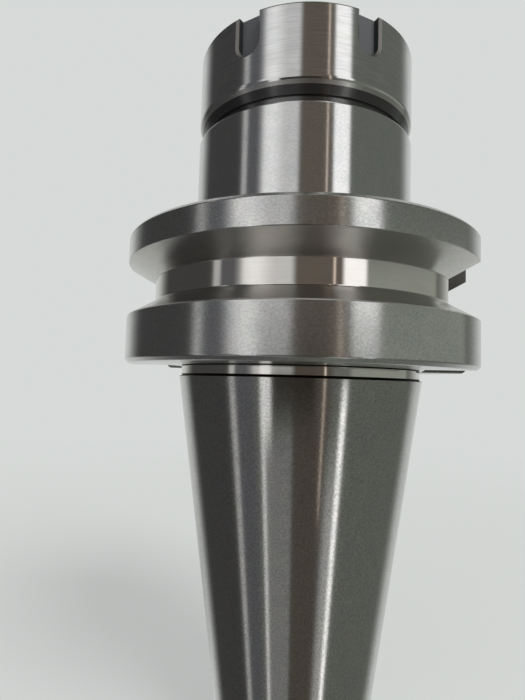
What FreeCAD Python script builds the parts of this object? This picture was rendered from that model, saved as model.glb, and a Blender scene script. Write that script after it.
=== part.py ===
import FreeCAD, Part
import os
import Sketcher
from FreeCAD import Placement, Rotation, Vector

# Collet chuck holder: a steep 7/24 taper shank of size 50 that carries a size 40 spring
# collet under a slotted clamping nut. Millimetres. Z is the spindle axis, the origin is the
# centre of the gauge line, where the taper is widest, and +Z points at the nut. The holder
# stands on the small end of its taper, and the drive slots of the flange lie on the X axis.

DRIVING_DIMENSIONS = {
    # Taper shank
    "gauge_diameter": 69.85,
    "taper_rise": 7,
    "taper_run": 24,
    "taper_length": 101.8,
    "small_end_chamfer": 1.5,
    "relief_diameter": 68.8,
    # Hole for the pull stud in the small end
    "pilot_diameter": 25,
    "pilot_depth": 13,
    "pilot_chamfer": 0.8,
    "stud_core_diameter": 21,
    "stud_core_depth": 62,
    "drill_half_angle": 59,
    "coolant_diameter": 14,
    # Flange with its gripper groove and drive slots
    "flange_diameter": 100,
    "flange_rear": 3,
    "flange_front": 38,
    "rim_chamfer": 1,
    "groove_middle": 23.2,
    "groove_width": 15,
    "groove_depth": 7.5,
    "groove_half_angle": 30,
    "drive_slot_width": 25.7,
    "drive_slot_floor": 35.4,
    "drive_slot_corner": 1.2,
    # Nose, its thread root and the collet seat
    "nose_diameter": 63,
    "nose_shoulder": 67.6,
    "nose_thread_diameter": 50,
    "nose_thread_depth": 0.9,
    "undercut_depth": 0.4,
    "undercut_width": 2.2,
    "body_face": 81.3,
    "face_chamfer": 0.9,
    "seat_mouth_diameter": 40,
    "seat_angle": 8,
    "shank_bore_diameter": 30,
    "shank_bore_floor": 15,
    # Clamping nut
    "nut_wall": 6.5,
    "nut_rear": 68,
    "nut_length": 25.5,
    "nut_slot_angle": 11.1,
    "nut_front_chamfer": 0.8,
    "collar_setback": 2.4,
    "collar_length": 2.3,
    "cone_setback": 1.9,
    "cone_end": 5.7,
    "nut_thread_clearance": 0.05,
    "nut_cavity_gap": 1,
    "nut_cavity_diameter": 41.6,
    "nut_front_hole_diameter": 34,
    "lip_length": 2,
    "lip_diameter": 36.6,
    "lip_offset": 0.9,
    "wrench_slots": 6,
    "wrench_slot_width": 6.2,
    "wrench_slot_depth": 2.6,
    "wrench_slot_centre": 17.5,
    "wrench_slot_chamfer": 0.9,
    # Spring collet
    "collet_length": 46,
    "collet_max_diameter": 41,
    "collet_max_depth": 7.66,
    "collet_head_diameter": 38.6,
    "collet_groove_front": 4.2,
    "collet_groove_rear": 7,
    "collet_groove_diameter": 34,
    "collet_press_angle": 30,
    "collet_bore_diameter": 20,
    "collet_chamfer": 0.7,
    "seat_clearance": 0.1,
    "slits_each_end": 8,
    "slit_width": 1.2,
    "front_slit_length": 39,
    "rear_slit_length": 35,
}

# Heights and radii worked out from the driving dimensions
GAUGE_RADIUS = "dim.gauge_diameter / 2"
SMALL_END = "-dim.taper_length"
SMALL_RADIUS = "(dim.gauge_diameter - dim.taper_length * dim.taper_rise / dim.taper_run) / 2"
RELIEF_STEP = "(dim.gauge_diameter - dim.relief_diameter) / 2"
GROOVE_ROOT_RADIUS = "(dim.flange_diameter / 2 - dim.groove_depth)"
ROOT_HALF_WIDTH = "(dim.groove_width / 2 - dim.groove_depth * tan(dim.groove_half_angle))"
NOSE_ROOT_RADIUS = "(dim.nose_thread_diameter / 2 - dim.nose_thread_depth)"
UNDERCUT_RADIUS = f"({NOSE_ROOT_RADIUS} - dim.undercut_depth)"
NUT_RADIUS = "(dim.nose_thread_diameter / 2 + dim.nut_wall)"
NUT_BORE_RADIUS = "(dim.nose_thread_diameter / 2 + dim.nut_thread_clearance)"
SEAT_END = (
    "(dim.body_face - (dim.seat_mouth_diameter - dim.shank_bore_diameter) / 2"
    " / tan(dim.seat_angle))"
)
COLLET_FACE = (
    "(dim.body_face + dim.collet_max_depth + (dim.collet_max_diameter / 2"
    " - dim.seat_mouth_diameter / 2 + dim.seat_clearance) / tan(dim.seat_angle))"
)
TAIL_RADIUS = (
    "(dim.collet_max_diameter / 2"
    " - (dim.collet_length - dim.collet_max_depth) * tan(dim.seat_angle))"
)
HEAD_FACE_RADIUS = (
    "(dim.collet_head_diameter / 2 - dim.collet_groove_front * tan(dim.collet_press_angle))"
)
# The same heights measured from the rear face of the nut
FACE_IN_NUT = f"({COLLET_FACE} - dim.nut_rear)"
LIP_MIDDLE = f"({FACE_IN_NUT} - (dim.collet_groove_front + dim.collet_groove_rear) / 2)"
LIP_REAR = f"({LIP_MIDDLE} - dim.lip_length / 2)"
LIP_FRONT = f"({LIP_MIDDLE} + dim.lip_length / 2)"
PRESS_RADIUS_AT_FACE = f"({HEAD_FACE_RADIUS} + dim.seat_clearance)"
PRESS_RADIUS_AT_LIP = (
    f"({PRESS_RADIUS_AT_FACE} + ({FACE_IN_NUT} - {LIP_FRONT}) * tan(dim.collet_press_angle))"
)
PRESS_END = (
    f"({FACE_IN_NUT} - (dim.nut_front_hole_diameter / 2 - {PRESS_RADIUS_AT_FACE})"
    " / tan(dim.collet_press_angle))"
)
# How far a cutting outline runs past the surface that it opens
OVERCUT = 5
WHOLE_TURN = 360
SMALLEST_CUT = 0.5


def make_sheet(doc):
    sheet = doc.addObject("Spreadsheet::Sheet", "dim")
    for row, (name, value) in enumerate(DRIVING_DIMENSIONS.items(), start=1):
        sheet.set(f"A{row}", name)
        sheet.set(f"B{row}", str(value))
        sheet.setAlias(f"B{row}", name)
    doc.recompute()
    return sheet


def new_body(doc, name):
    body = doc.addObject("PartDesign::Body", name)
    body.Label = name
    return body


def origin_feature(body, role):
    return next(item for item in body.Origin.OriginFeatures if item.Role == role)


def new_sketch(body, name, role):
    sketch = body.newObject("Sketcher::SketchObject", name)
    sketch.AttachmentSupport = [(origin_feature(body, role), "")]
    sketch.MapMode = "FlatFace"
    return sketch


def bind(sketch, kind, edge, corner, expression):
    """Hold one point of an edge at a signed distance from the sketch's origin."""
    value = float(sketch.evalExpression(expression))
    index = sketch.addConstraint(Sketcher.Constraint(kind, -1, 1, edge, corner, value))
    sketch.setExpression(f"Constraints[{index}]", expression)


def outline(sketch, corners):
    """Draw a closed outline of straight edges, each corner held by two expressions."""
    places = []
    for across, along in corners:
        x = float(sketch.evalExpression(across))
        y = float(sketch.evalExpression(along))
        places.append(Vector(x, y, 0))
    edges = [Part.LineSegment(a, b) for a, b in zip(places, places[1:] + places[:1])]
    sketch.addGeometry(edges, False)
    for edge in range(len(edges)):
        before = (edge - 1) % len(edges)
        sketch.addConstraint(Sketcher.Constraint("Coincident", before, 2, edge, 1))
    for edge, (across, along) in enumerate(corners):
        bind(sketch, "DistanceX", edge, 1, across)
        bind(sketch, "DistanceY", edge, 1, along)


def turn(body, kind, name, corners):
    """Turn an outline of (radius, height) corners about Z, to add or to cut metal."""
    sketch = new_sketch(body, f"{name}_profile", "XZ_Plane")
    outline(sketch, corners)
    feature = body.newObject(kind, name)
    feature.Profile = sketch
    feature.ReferenceAxis = (sketch, ["V_Axis"])
    feature.Angle = WHOLE_TURN
    sketch.Document.recompute()
    return feature


def repeat_round(body, name, feature, count):
    """Repeat a feature round the Z axis and make the pattern the body's tip."""
    pattern = body.newObject("PartDesign::PolarPattern", name)
    pattern.Originals = [feature]
    pattern.Axis = (origin_feature(body, "Z_Axis"), [""])
    pattern.Angle = WHOLE_TURN
    pattern.setExpression("Occurrences", count)
    body.Tip = pattern
    body.Document.recompute()
    return pattern


def edges_where(feature, test):
    """Name the edges of a feature that a test picks out."""
    return [f"Edge{i}" for i, edge in enumerate(feature.Shape.Edges, start=1) if test(edge)]


def edge_points(edge):
    return [edge.valueAt(at) for at in edge.ParameterRange] + [edge.CenterOfMass]


def dress(body, kind, name, feature, edges, size_property, expression):
    """Round or chamfer the named edges of a feature."""
    dressed = body.newObject(kind, name)
    dressed.Base = (feature, edges)
    dressed.setExpression(size_property, expression)
    body.Tip = dressed
    body.Document.recompute()
    return dressed


def turned_blank(body):
    """Taper, relief, flange and nose, turned in one piece."""
    return turn(body, "PartDesign::Revolution", "turned_blank", [
        ("0", SMALL_END),
        (f"{SMALL_RADIUS} - dim.small_end_chamfer", SMALL_END),
        (f"{SMALL_RADIUS} + dim.small_end_chamfer * dim.taper_rise / dim.taper_run / 2",
         f"{SMALL_END} + dim.small_end_chamfer"),
        (GAUGE_RADIUS, "0"),
        ("dim.relief_diameter / 2", RELIEF_STEP),
        ("dim.relief_diameter / 2", "dim.flange_rear"),
        ("dim.flange_diameter / 2 - dim.rim_chamfer", "dim.flange_rear"),
        ("dim.flange_diameter / 2", "dim.flange_rear + dim.rim_chamfer"),
        ("dim.flange_diameter / 2", "dim.flange_front - dim.rim_chamfer"),
        ("dim.flange_diameter / 2 - dim.rim_chamfer", "dim.flange_front"),
        ("dim.nose_diameter / 2", "dim.flange_front"),
        ("dim.nose_diameter / 2", "dim.nose_shoulder"),
        (UNDERCUT_RADIUS, "dim.nose_shoulder"),
        (UNDERCUT_RADIUS, "dim.nose_shoulder + dim.undercut_width"),
        (NOSE_ROOT_RADIUS, "dim.nose_shoulder + dim.undercut_width"),
        (NOSE_ROOT_RADIUS, "dim.body_face - dim.face_chamfer"),
        (f"{NOSE_ROOT_RADIUS} - dim.face_chamfer", "dim.body_face"),
        ("0", "dim.body_face"),
    ])


def gripper_groove(body):
    """The V groove that a tool changer grips."""
    lip = f"(dim.groove_width / 2 + {OVERCUT} * tan(dim.groove_half_angle))"
    return turn(body, "PartDesign::Groove", "gripper_groove", [
        (f"dim.flange_diameter / 2 + {OVERCUT}", f"dim.groove_middle - {lip}"),
        (f"dim.flange_diameter / 2 + {OVERCUT}", f"dim.groove_middle + {lip}"),
        (GROOVE_ROOT_RADIUS, f"dim.groove_middle + {ROOT_HALF_WIDTH}"),
        (GROOVE_ROOT_RADIUS, f"dim.groove_middle - {ROOT_HALF_WIDTH}"),
    ])


def stud_hole(body):
    """Pilot and tapping bore for the pull stud, drilled from the small end."""
    core_end = f"({SMALL_END} + dim.stud_core_depth)"
    point = "(dim.stud_core_diameter / 2 / tan(dim.drill_half_angle))"
    pilot_end = f"({SMALL_END} + dim.pilot_depth)"
    return turn(body, "PartDesign::Groove", "stud_hole", [
        ("0", f"{SMALL_END} - {OVERCUT}"),
        (f"dim.pilot_diameter / 2 + dim.pilot_chamfer + {OVERCUT}", f"{SMALL_END} - {OVERCUT}"),
        ("dim.pilot_diameter / 2", f"{SMALL_END} + dim.pilot_chamfer"),
        ("dim.pilot_diameter / 2", pilot_end),
        ("dim.stud_core_diameter / 2", pilot_end),
        ("dim.stud_core_diameter / 2", core_end),
        ("0", f"{core_end} + {point}"),
    ])


def collet_bore(body):
    """Collet seat, the bore behind it for long shanks and the coolant hole."""
    floor = "dim.shank_bore_floor"
    point = "(dim.shank_bore_diameter - dim.coolant_diameter) / 2 / tan(dim.drill_half_angle)"
    widening = f"{OVERCUT} * tan(dim.seat_angle)"
    return turn(body, "PartDesign::Groove", "collet_bore", [
        ("0", f"{SMALL_END} + dim.pilot_depth"),
        ("dim.coolant_diameter / 2", f"{SMALL_END} + dim.pilot_depth"),
        ("dim.coolant_diameter / 2", f"{floor} - {point}"),
        ("dim.shank_bore_diameter / 2", floor),
        ("dim.shank_bore_diameter / 2", SEAT_END),
        (f"dim.seat_mouth_diameter / 2 + {widening}", f"dim.body_face + {OVERCUT}"),
        ("0", f"dim.body_face + {OVERCUT}"),
    ])


def drive_slots(body):
    """Two slots for the spindle's drive keys, through both rims of the flange."""
    half = "dim.drive_slot_width / 2"
    floor = "dim.drive_slot_floor"
    corner = "dim.drive_slot_corner"
    far = f"dim.flange_diameter / 2 + {OVERCUT}"
    sketch = new_sketch(body, "drive_slot_outline", "XY_Plane")
    outline(sketch, [
        (far, f"-{half}"),
        (far, half),
        (f"{floor} + {corner}", half),
        (floor, f"{half} - {corner}"),
        (floor, f"-{half} + {corner}"),
        (f"{floor} + {corner}", f"-{half}"),
    ])
    slot = body.newObject("PartDesign::Pocket", "drive_slot")
    slot.Profile = sketch
    slot.Reversed = True
    slot.setExpression("Length", f"dim.flange_front + {OVERCUT}")
    body.Document.recompute()
    return repeat_round(body, "drive_slots", slot, "2")


def make_holder(doc):
    body = new_body(doc, "holder_body")
    turned_blank(body)
    gripper_groove(body)
    stud_hole(body)
    collet_bore(body)
    drive_slots(body)
    return body


def nut_blank(body):
    """Outside of the nut: ground diameter, blackened cone and the collar behind it."""
    return turn(body, "PartDesign::Revolution", "nut_blank", [
        ("0", "0"),
        (f"{NUT_RADIUS} - dim.collar_setback", "0"),
        (f"{NUT_RADIUS} - dim.collar_setback", "dim.collar_length"),
        (f"{NUT_RADIUS} - dim.cone_setback", "dim.collar_length"),
        (NUT_RADIUS, "dim.cone_end"),
        (NUT_RADIUS, "dim.nut_length - dim.nut_front_chamfer"),
        (f"{NUT_RADIUS} - dim.nut_front_chamfer", "dim.nut_length"),
        ("0", "dim.nut_length"),
    ])


def nut_inside(body):
    """Thread bore, cavity over the collet, the press cone and the front hole."""
    thread_end = "(dim.body_face - dim.nut_rear + dim.nut_cavity_gap)"
    entry = "dim.face_chamfer"
    return turn(body, "PartDesign::Groove", "nut_inside", [
        ("0", f"-{OVERCUT}"),
        (f"{NUT_BORE_RADIUS} + {entry} + {OVERCUT}", f"-{OVERCUT}"),
        (NUT_BORE_RADIUS, entry),
        (NUT_BORE_RADIUS, thread_end),
        ("dim.nut_cavity_diameter / 2", thread_end),
        ("dim.nut_cavity_diameter / 2", LIP_REAR),
        ("dim.nut_front_hole_diameter / 2", LIP_REAR),
        ("dim.nut_front_hole_diameter / 2", LIP_FRONT),
        (PRESS_RADIUS_AT_LIP, LIP_FRONT),
        ("dim.nut_front_hole_diameter / 2", PRESS_END),
        ("dim.nut_front_hole_diameter / 2", f"dim.nut_length + {OVERCUT}"),
        ("0", f"dim.nut_length + {OVERCUT}"),
    ])


def extraction_lip(body):
    """The eccentric opening in the lip that snaps into the collet's groove."""
    sketch = new_sketch(body, "extraction_circle", "XY_Plane")
    sketch.setExpression("AttachmentOffset.Base.z", LIP_FRONT)
    radius = float(sketch.evalExpression("dim.lip_diameter / 2"))
    offset = float(sketch.evalExpression("dim.lip_offset"))
    circle = Part.Circle(Vector(offset, 0, 0), Vector(0, 0, 1), radius)
    edge = sketch.addGeometry(circle, False)
    size = sketch.addConstraint(Sketcher.Constraint("Radius", edge, radius))
    sketch.setExpression(f"Constraints[{size}]", "dim.lip_diameter / 2")
    bind(sketch, "DistanceX", edge, 3, "dim.lip_offset")
    bind(sketch, "DistanceY", edge, 3, "0")
    lip = body.newObject("PartDesign::Pocket", "extraction_lip")
    lip.Profile = sketch
    lip.setExpression("Length", "dim.lip_length")
    body.Document.recompute()
    return lip


def wrench_slot_outline(sketch):
    """A slot with a full round lower end, open at the front face of the nut."""
    half = float(sketch.evalExpression("dim.wrench_slot_width / 2"))
    middle = float(sketch.evalExpression("dim.wrench_slot_centre"))
    top = float(sketch.evalExpression(f"dim.nut_length + {OVERCUT}"))
    corners = [Vector(-half, middle), Vector(-half, top), Vector(half, top), Vector(half, middle)]
    lines = [Part.LineSegment(a, b) for a, b in zip(corners, corners[1:])]
    round_end = Part.Arc(corners[3], Vector(0, middle - half), corners[0])
    left, front, right, end = sketch.addGeometry(lines + [round_end], False)
    arc_start = 1 if sketch.getPoint(end, 1).x > 0 else 2
    arc_end = 3 - arc_start
    for first, first_end, second, second_end in (
        (left, 2, front, 1),
        (front, 2, right, 1),
        (right, 2, end, arc_start),
        (left, 1, end, arc_end),
    ):
        joint = Sketcher.Constraint("Coincident", first, first_end, second, second_end)
        sketch.addConstraint(joint)
    sketch.addConstraint(Sketcher.Constraint("Horizontal", front))
    bind(sketch, "DistanceX", left, 1, "-dim.wrench_slot_width / 2")
    bind(sketch, "DistanceY", right, 2, "dim.wrench_slot_centre")
    bind(sketch, "DistanceX", left, 2, "-dim.wrench_slot_width / 2")
    bind(sketch, "DistanceX", right, 1, "dim.wrench_slot_width / 2")
    bind(sketch, "DistanceY", left, 2, f"dim.nut_length + {OVERCUT}")
    bind(sketch, "DistanceX", end, 3, "0")
    bind(sketch, "DistanceY", end, 3, "dim.wrench_slot_centre")
    bind(sketch, "DistanceY", left, 1, "dim.wrench_slot_centre")


def wrench_slots(body, sheet):
    """Six slots for a hook wrench, with chamfered edges on the ground diameter."""
    sketch = new_sketch(body, "wrench_slot_outline", "YZ_Plane")
    sketch.setExpression("AttachmentOffset.Base.z", f"{NUT_RADIUS} - dim.wrench_slot_depth")
    wrench_slot_outline(sketch)
    slot = body.newObject("PartDesign::Pocket", "wrench_slot")
    slot.Profile = sketch
    slot.Reversed = True
    slot.setExpression("Length", NUT_RADIUS)
    body.Document.recompute()
    pattern = repeat_round(body, "wrench_slots", slot, "dim.wrench_slots")
    outside = sheet.nose_thread_diameter / 2 + sheet.nut_wall

    def is_slot_edge(edge):
        points = edge_points(edge)
        on_outside = all(abs(Vector(p.x, p.y).Length - outside) < 0.2 for p in points[:2])
        return on_outside and edge.BoundBox.ZLength > 1

    edges = edges_where(pattern, is_slot_edge)
    return dress(body, "PartDesign::Chamfer", "slot_edges", pattern, edges,
                 "Size", "dim.wrench_slot_chamfer")


def make_nut(doc, sheet):
    body = new_body(doc, "clamping_nut")
    nut_blank(body)
    nut_inside(body)
    extraction_lip(body)
    wrench_slots(body, sheet)
    body.Placement = Placement(Vector(0, 0, 1), Rotation(Vector(0, 0, 1), 1))
    body.setExpression("Placement.Base.z", "dim.nut_rear")
    body.setExpression("Placement.Rotation.Angle", "dim.nut_slot_angle")
    return body


def collet_blank(body):
    """Outside of the collet, measured from its front face: head, groove and long cone."""
    return turn(body, "PartDesign::Revolution", "collet_blank", [
        ("dim.collet_bore_diameter / 2", "0"),
        (HEAD_FACE_RADIUS, "0"),
        ("dim.collet_head_diameter / 2", "-dim.collet_groove_front"),
        ("dim.collet_groove_diameter / 2", "-dim.collet_groove_front"),
        ("dim.collet_groove_diameter / 2", "-dim.collet_groove_rear"),
        ("dim.collet_max_diameter / 2", "-dim.collet_groove_rear"),
        ("dim.collet_max_diameter / 2", "-dim.collet_max_depth"),
        (f"{TAIL_RADIUS} + dim.collet_chamfer * tan(dim.seat_angle)",
         "-dim.collet_length + dim.collet_chamfer"),
        (f"{TAIL_RADIUS} - dim.collet_chamfer", "-dim.collet_length"),
        ("dim.collet_bore_diameter / 2", "-dim.collet_length"),
    ])


def cut_slits(body, name, turned_by, near, far):
    """Cut one set of slits through the wall, between two depths below the face."""
    outside = "dim.collet_max_diameter / 2 + 1"
    sketch = new_sketch(body, f"{name}_outline", "XZ_Plane")
    sketch.AttachmentOffset = Placement(Vector(), Rotation(Vector(0, 1, 0), 1))
    sketch.setExpression("AttachmentOffset.Rotation.Angle", turned_by)
    outline(sketch, [("1", near), (outside, near), (outside, far), ("1", far)])
    slit = body.newObject("PartDesign::Pocket", name)
    slit.Profile = sketch
    slit.Midplane = True
    slit.setExpression("Length", "dim.slit_width")
    body.Document.recompute()
    return repeat_round(body, f"{name}s", slit, "dim.slits_each_end")


def make_collet(doc):
    body = new_body(doc, "collet")
    collet_blank(body)
    cut_slits(body, "front_slit", "0", "-dim.front_slit_length", "1")
    cut_slits(body, "rear_slit", "180 / dim.slits_each_end",
              "-dim.collet_length - 1", "-dim.collet_length + dim.rear_slit_length")
    body.setExpression("Placement.Base.z", COLLET_FACE)
    return body


def check(doc, bodies):
    """Stop on a failed object, a cut that removed nothing or a solid that isn't sound."""
    for item in doc.Objects:
        if {"Invalid", "Error"} & set(item.State):
            raise RuntimeError(f"{item.Name} failed: {item.State}")
        if item.TypeId in ("PartDesign::Groove", "PartDesign::Pocket"):
            removed = item.BaseFeature.Shape.Volume - item.Shape.Volume
            if removed < SMALLEST_CUT:
                raise RuntimeError(f"{item.Name} removed {removed:.3f} cubic mm")
    for body in bodies:
        shape = body.Shape
        if shape.isNull() or not shape.isValid() or len(shape.Solids) != 1:
            raise RuntimeError(f"{body.Label} isn't one sound solid")


def main():
    doc = FreeCAD.newDocument("collet_chuck_holder")
    sheet = make_sheet(doc)
    bodies = [make_holder(doc), make_nut(doc, sheet), make_collet(doc)]
    doc.recompute()
    check(doc, bodies)
    os.makedirs("parts", exist_ok=True)
    for body in bodies:
        body.Shape.exportStep(f"parts/{body.Label}.step")
        box = body.Shape.BoundBox
        print(f"{body.Label}: {body.Shape.Volume / 1000:.2f} cm3, "
              f"z {box.ZMin:.2f} to {box.ZMax:.2f}, {len(body.Shape.Faces)} faces")


main()
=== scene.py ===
import math

import bmesh
import bpy
from mathutils import Matrix, Vector


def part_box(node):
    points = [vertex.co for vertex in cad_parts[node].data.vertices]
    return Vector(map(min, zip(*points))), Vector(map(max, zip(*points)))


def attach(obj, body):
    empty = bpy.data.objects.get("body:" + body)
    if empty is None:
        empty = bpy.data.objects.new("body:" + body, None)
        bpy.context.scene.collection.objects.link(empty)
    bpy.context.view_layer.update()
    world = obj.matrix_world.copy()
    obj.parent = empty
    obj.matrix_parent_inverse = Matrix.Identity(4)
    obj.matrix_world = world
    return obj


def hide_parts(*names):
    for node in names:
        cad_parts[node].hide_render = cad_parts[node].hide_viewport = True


# Collet chuck holder on a plain pale floor: a ground steep-taper shank with a grooved drive
# flange, a slitted spring collet and a slotted clamping nut. Sizes below are millimetres.
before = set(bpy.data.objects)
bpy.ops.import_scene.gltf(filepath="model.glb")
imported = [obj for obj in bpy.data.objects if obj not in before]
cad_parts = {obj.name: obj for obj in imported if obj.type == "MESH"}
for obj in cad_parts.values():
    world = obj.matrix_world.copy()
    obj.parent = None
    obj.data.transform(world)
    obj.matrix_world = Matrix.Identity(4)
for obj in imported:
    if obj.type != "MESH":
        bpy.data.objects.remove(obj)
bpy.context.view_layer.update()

MM = 0.001
# Facets round a turned piece and of a rounded corner, the angle past which an edge is drawn
# sharp, and how near each other points are merged
SEGMENTS = 384
CORNER_STEPS = 2
SHARP_ANGLE = math.radians(7)
WELD_DISTANCE = 0.0005
# How far a corner is rounded along both its sides
SHARP = 0
CRISP = 0.1
FINE = 0.15
BROKEN = 0.2


def node_range(node, axis):
    """The lowest and highest place of a CAD node along one axis, in millimetres."""
    low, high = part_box(node)
    return low[axis] / MM, high[axis] / MM


Y, Z = 1, 2
SMALL_END, BODY_FACE = node_range("holder_body", Z)
NUT_REAR, NUT_FRONT = node_range("clamping_nut", Z)
COLLET_TAIL, COLLET_FACE = node_range("collet", Z)
FLANGE_RADIUS = node_range("holder_body", Y)[1]
COLLET_RADIUS = node_range("collet", Y)[1]

# Taper shank
GAUGE_RADIUS = 34.925
TAPER_SLOPE = 7 / 48
SMALL_END_CHAMFER = 1.5
RELIEF_RADIUS = 34.4
OIL_GROOVE = 0.3
# Flange
FLANGE_REAR = 3
FLANGE_FRONT = 38
RIM_CHAMFER = 1
RIM_EDGE = 0.25
RIM_EDGE_RISE = RIM_EDGE / 4
GROOVE_MIDDLE = 23.2
GROOVE_HALF_WIDTH = 7.5
GROOVE_ROOT_RADIUS = 42.5
GROOVE_HALF_ANGLE = math.radians(30)
DRIVE_SLOTS = 2
DRIVE_SLOT_HALF_WIDTH = 12.85
DRIVE_SLOT_FLOOR = 35.4
DRIVE_SLOT_CORNER = 1.2
DRIVE_SLOT_EDGE = 0.4
DRIVE_SLOT_CORNER_STEPS = 5
# Nose with its thread, and the bores inside
NOSE_RADIUS = 31.5
NOSE_SHOULDER = 67.6
NOSE_SHOULDER_ROUND = 0.35
NOSE_FILLET = 0.3
NOSE_ROOT_RADIUS = 24.1
UNDERCUT_RADIUS = 23.7
UNDERCUT_WIDTH = 2.2
FACE_CHAMFER = 0.9
SEAT_RADIUS = 20
SEAT_SLOPE = math.tan(math.radians(8))
SHANK_BORE_RADIUS = 15
SHANK_BORE_FLOOR = 15
COOLANT_RADIUS = 7
DRILL_SLOPE = math.tan(math.radians(59))
STUD_CORE_RADIUS = 10.5
STUD_CORE_DEPTH = 62
STUD_THREAD_RADIUS = 12.05
STUD_THREAD_LENGTH = 32
PILOT_RADIUS = 12.5
PILOT_DEPTH = 13
PILOT_CHAMFER = 0.8
# Clamping nut
NUT_RADIUS = 31.5
NUT_FRONT_CHAMFER = 0.8
NUT_TURNED = math.radians(11.1)
COLLAR_RADIUS = 29.1
COLLAR_LENGTH = 2.3
CONE_SMALL_RADIUS = 29.6
CONE_LENGTH = 3.4
CONE_ROUND = 0.5
NUT_BORE_RADIUS = 25.05
NUT_BORE_END = BODY_FACE + 1
CAVITY_RADIUS = 20.8
NUT_HOLE_RADIUS = 17
LIP_RADIUS = 18.3
LIP_OFFSET = 0.9
LIP_REAR = COLLET_FACE - 6.6
LIP_FRONT = LIP_REAR + 2
PRESS_SLOPE = math.tan(math.radians(30))
PRESS_RADIUS = 19.65
WRENCH_SLOTS = 6
WRENCH_SLOT_HALF_WIDTH = 3.1
WRENCH_SLOT_FLOOR = 28.9
WRENCH_SLOT_CENTRE = NUT_REAR + 17.5
WRENCH_SLOT_EDGE = 0.9
WRENCH_SLOT_STEPS = 32
BLACKENED_SHARE = 0.6
# Spring collet, measured from its face
HEAD_RADIUS = 19.3
GROOVE_FRONT = 4.2
GROOVE_REAR = 7
COLLET_GROOVE_RADIUS = 17
COLLET_WIDEST = 7.66
COLLET_CHAMFER = 0.7
COLLET_BORE_RADIUS = 10
SLITS = 8
SLIT_HALF_WIDTH = 0.6
SLIT_OVERSHOOT = 1
FRONT_SLIT_LENGTH = 39
REAR_SLIT_LENGTH = 35
# Threads: pitch, ridge height, crest width as a share of the pitch, and the flank angle
NOSE_PITCH = 1.5
STUD_PITCH = 3
NOSE_RIDGE = 0.85
NUT_RIDGE = 0.8
CREST_SHARE = 1 / 8
FLANK_SLOPE = math.tan(math.radians(30))
# Room left at the ends of each ridge
NOSE_THREAD_START_GAP = 0.6
NOSE_THREAD_END_GAP = 0.2
NUT_THREAD_END_GAP = 0.9
STUD_THREAD_START_GAP = 1.6
STUD_THREAD_GAPS = 2.4
# A ridge is sunk into its wall. It keeps its full height up to a share of its length away from
# its middle, and thins from there to a tip at its ends, which are half its length away. Its
# turns have this many steps.
THREAD_SINK = 0.05
FULL_HEIGHT_TO = 0.44
TIP_SHARE = 0.02
THREAD_STEPS = 96
# Smudges on the steel, and how much of their faint colour it takes
BLOTCH_SIZE = 4
TEMPER_TINT = 0.06
# Where the values of a fine and of a cloudy noise mostly lie
GRAIN_RANGE = (0.3, 0.7)
CLOUD_RANGE = (0.35, 0.65)
# Patches of uneven gloss on plain finishes, and how far they go up and down
GLOSS_PATCH = 0.8
GLOSS_SPREAD = 0.06


def linear(code):
    """The linear colour of an sRGB hex value."""
    channels = [int(code[at:at + 2], 16) / 255 for at in (1, 3, 5)]
    return [c / 12.92 if c <= 0.04045 else ((c + 0.055) / 1.055) ** 2.4 for c in channels]


def add(tree, kind, inputs=None, **settings):
    """Add a node, set its properties, then fill its inputs with values or links."""
    node = tree.nodes.new(kind)
    for name, value in settings.items():
        setattr(node, name, value)
    for name, value in (inputs or {}).items():
        if isinstance(value, bpy.types.NodeSocket):
            tree.links.new(value, node.inputs[name])
        else:
            node.inputs[name].default_value = value
    return node


def lathe_coordinates(tree, line_width, line_length, radius):
    """Coordinates that run along the axis or outwards in line widths, and round the part
    in line lengths, so a noise read there has the long thin marks of grinding or turning."""
    place = add(tree, "ShaderNodeTexCoord").outputs["Object"]
    across = add(tree, "ShaderNodeVectorMath", {0: place, 1: (1, 1, 0)}, operation="MULTIPLY")
    outwards = add(tree, "ShaderNodeVectorMath", {0: across.outputs[0]}, operation="LENGTH")
    turn = add(tree, "ShaderNodeVectorMath", {0: across.outputs[0]}, operation="NORMALIZE")
    height = add(tree, "ShaderNodeSeparateXYZ", {0: place}).outputs["Z"]
    along = add(tree, "ShaderNodeMath", {0: outwards.outputs["Value"], 1: height},
                operation="ADD")
    lines = add(tree, "ShaderNodeMath", {0: along.outputs[0], 1: 1 / (line_width * MM)},
                operation="MULTIPLY")
    arc = add(tree, "ShaderNodeVectorMath", {0: turn.outputs[0], "Scale": radius / line_length},
              operation="SCALE")
    lift = add(tree, "ShaderNodeCombineXYZ", {"Z": lines.outputs[0]})
    return add(tree, "ShaderNodeVectorMath", {0: arc.outputs[0], 1: lift.outputs[0]},
               operation="ADD").outputs[0]


def new_material(name):
    """A material with its node tree and its shader."""
    material = bpy.data.materials.new(name)
    material.use_nodes = True
    tree = material.node_tree
    return material, tree, tree.nodes["Principled BSDF"]


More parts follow.
